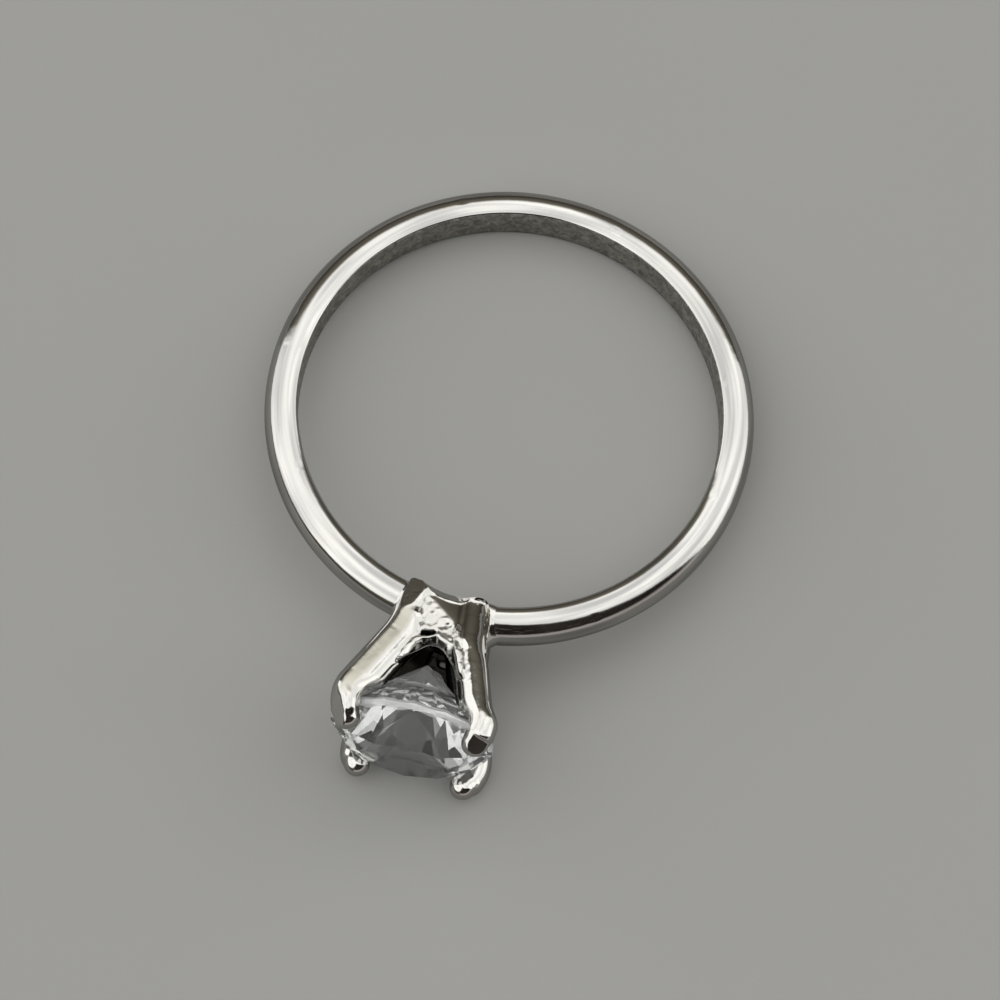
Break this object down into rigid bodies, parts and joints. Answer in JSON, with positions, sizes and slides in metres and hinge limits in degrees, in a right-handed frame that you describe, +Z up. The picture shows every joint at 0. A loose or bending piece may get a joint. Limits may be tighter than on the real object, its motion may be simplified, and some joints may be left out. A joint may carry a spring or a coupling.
{
  "type": "solitaire engagement ring",
  "caption": "Solitaire engagement ring with a plain domed band and one round brilliant stone held high by splayed claws, lying on its side.",
  "frame": {"origin": "on the surface that the ring lies on, under the middle of its bounding box", "axes": "+Z up from the surface, -Y from the finger hole towards the stone, +X across the band"},
  "size_m": [0.02, 0.026, 0.0065],
  "materials": {
    "white_metal": "mirror polished outside, rough cast between the legs",
    "clear_stone": "clear and faceted, with a whitish girdle"
  },
  "bodies": {
    "root": {"band_and_setting": "white_metal", "stone": "clear_stone"}
  },
  "joints": []
}
